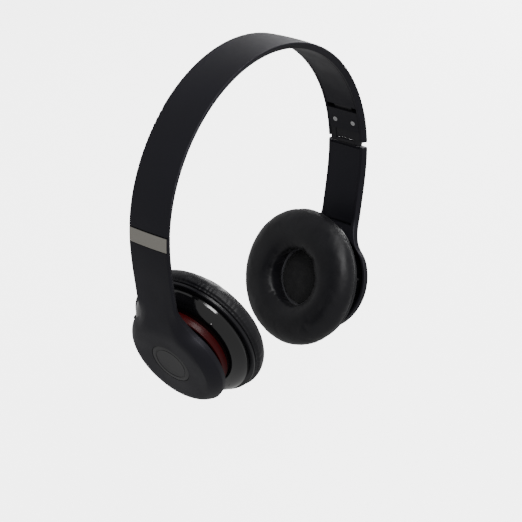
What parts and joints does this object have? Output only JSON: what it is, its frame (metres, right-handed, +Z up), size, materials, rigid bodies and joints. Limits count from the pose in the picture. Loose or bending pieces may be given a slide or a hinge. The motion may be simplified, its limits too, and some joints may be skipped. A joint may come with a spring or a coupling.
{
  "type": "folding on-ear wireless headset",
  "caption": "Folding on-ear headset: slim arched headband, sliding folding arms with round caps, gimballed ear cups and ring cushions.",
  "frame": {"origin": "middle of the headband's underside at its top, where it rests on a head or a stand", "axes": "+Z up, +X towards the wearer's left, +Y towards the back of the wearer's head"},
  "size_m": [0.166, 0.0761, 0.1849],
  "materials": {
    "soft_touch_black": "soft-touch matte",
    "inner_plastic": "satin moulded",
    "gloss_black": "polished",
    "gloss_red": "polished dark red",
    "satin_black": "satin",
    "satin_silver": "satin",
    "spring_steel": "brushed",
    "bright_steel": "bright",
    "dark_iron": "plated",
    "film": "thin film",
    "cloth_black": "fine knit",
    "leatherette_black": "soft leatherette",
    "foil": "foil pouch",
    "circuit_board": "solder mask",
    "wire_black": "insulated wire"
  },
  "bodies": {
    "headband": {"headband_shell": "soft_touch_black", "headband_liner": "soft_touch_black", "spring_strip": "spring_steel", "crossover_wire": "wire_black", "left_slide_guide": "inner_plastic", "right_slide_guide": "inner_plastic"},
    "right_slider": {"right_slider_block": "inner_plastic", "right_slider_blade": "spring_steel", "right_block_cover": "soft_touch_black", "right_cover_screws": "bright_steel", "right_hinge_pin": "spring_steel"},
    "right_arm": {"right_arm_shell": "soft_touch_black", "right_arm_liner": "soft_touch_black", "right_hinge_leaf": "inner_plastic", "right_name_plate": "satin_silver", "right_emblem": "satin_black", "right_gimbal_brackets": "inner_plastic", "right_bracket_screws": "bright_steel"},
    "right_gimbal": {"right_gimbal_ring": "inner_plastic", "right_gimbal_pins": "spring_steel"},
    "right_cup": {"right_cup_housing": "gloss_black", "right_accent_ring": "gloss_red", "right_baffle": "satin_black", "right_baffle_screws": "bright_steel", "right_driver_frame": "inner_plastic", "right_driver_magnet": "dark_iron", "right_driver_diaphragm": "film", "right_driver_cloth": "cloth_black", "right_ear_cushion": "leatherette_black", "right_main_board": "circuit_board", "right_charge_port": "bright_steel", "right_audio_jack": "satin_black"},
    "left_slider": {"left_slider_block": "inner_plastic", "left_slider_blade": "spring_steel", "left_block_cover": "soft_touch_black", "left_cover_screws": "bright_steel", "left_hinge_pin": "spring_steel"},
    "left_arm": {"left_arm_shell": "soft_touch_black", "left_arm_liner": "soft_touch_black", "left_hinge_leaf": "inner_plastic", "left_name_plate": "satin_silver", "left_emblem": "satin_black", "left_gimbal_brackets": "inner_plastic", "left_bracket_screws": "bright_steel"},
    "left_gimbal": {"left_gimbal_ring": "inner_plastic", "left_gimbal_pins": "spring_steel"},
    "left_cup": {"left_cup_housing": "gloss_black", "left_accent_ring": "gloss_red", "left_baffle": "satin_black", "left_baffle_screws": "bright_steel", "left_driver_frame": "inner_plastic", "left_driver_magnet": "dark_iron", "left_driver_diaphragm": "film", "left_driver_cloth": "cloth_black", "left_ear_cushion": "leatherette_black", "left_battery": "foil"},
    "power_button": {"right_power_button": "satin_black"},
    "volume_rocker": {"right_volume_rocker": "satin_black"}
  },
  "joints": [
    {"name": "right_size_slide", "type": "hinge", "parent": "headband", "child": "right_slider", "pos_m": [0, 0, -0.079], "axis": [0, 1, 0], "range_deg": [-14, 0]},
    {"name": "right_fold", "type": "hinge", "parent": "right_slider", "child": "right_arm", "pos_m": [-0.07995, 0, -0.07102], "axis": [0, 1, 0], "range_deg": [-95, 0]},
    {"name": "right_tilt", "type": "hinge", "parent": "right_arm", "child": "right_gimbal", "pos_m": [-0.06321, 0, -0.14933], "axis": [0, 1, 0], "range_deg": [-8, 3]},
    {"name": "right_swivel", "type": "hinge", "parent": "right_gimbal", "child": "right_cup", "pos_m": [-0.06321, 0, -0.14933], "axis": [-0.309, 0, 0.9511], "range_deg": [-12.5, 0.5]},
    {"name": "left_size_slide", "type": "hinge", "parent": "headband", "child": "left_slider", "pos_m": [0, 0, -0.079], "axis": [0, 1, 0], "range_deg": [-2, 12]},
    {"name": "left_fold", "type": "hinge", "parent": "left_slider", "child": "left_arm", "pos_m": [0.08018, 0, -0.07382], "axis": [0, 1, 0], "range_deg": [0, 95]},
    {"name": "left_tilt", "type": "hinge", "parent": "left_arm", "child": "left_gimbal", "pos_m": [0.06071, 0, -0.15149], "axis": [0, 1, 0], "range_deg": [-3, 8]},
    {"name": "left_swivel", "type": "hinge", "parent": "left_gimbal", "child": "left_cup", "pos_m": [0.06071, 0, -0.15149], "axis": [0.342, 0, 0.9397], "range_deg": [-0.5, 12.5]},
    {"name": "power_press", "type": "slide", "parent": "right_cup", "child": "power_button", "axis": [-0.0629, -0.8698, 0.4893], "range_m": [0, 0.0005], "stiffness_N_per_m": 900, "springref_m": -0.0006},
    {"name": "volume_rock", "type": "hinge", "parent": "right_cup", "child": "volume_rocker", "pos_m": [-0.05449, 0.03211, -0.14707], "axis": [0.9458, 0.1045, 0.3073], "range_deg": [-2.5, 2.5], "stiffness_Nm_per_rad": 0.2}
  ]
}
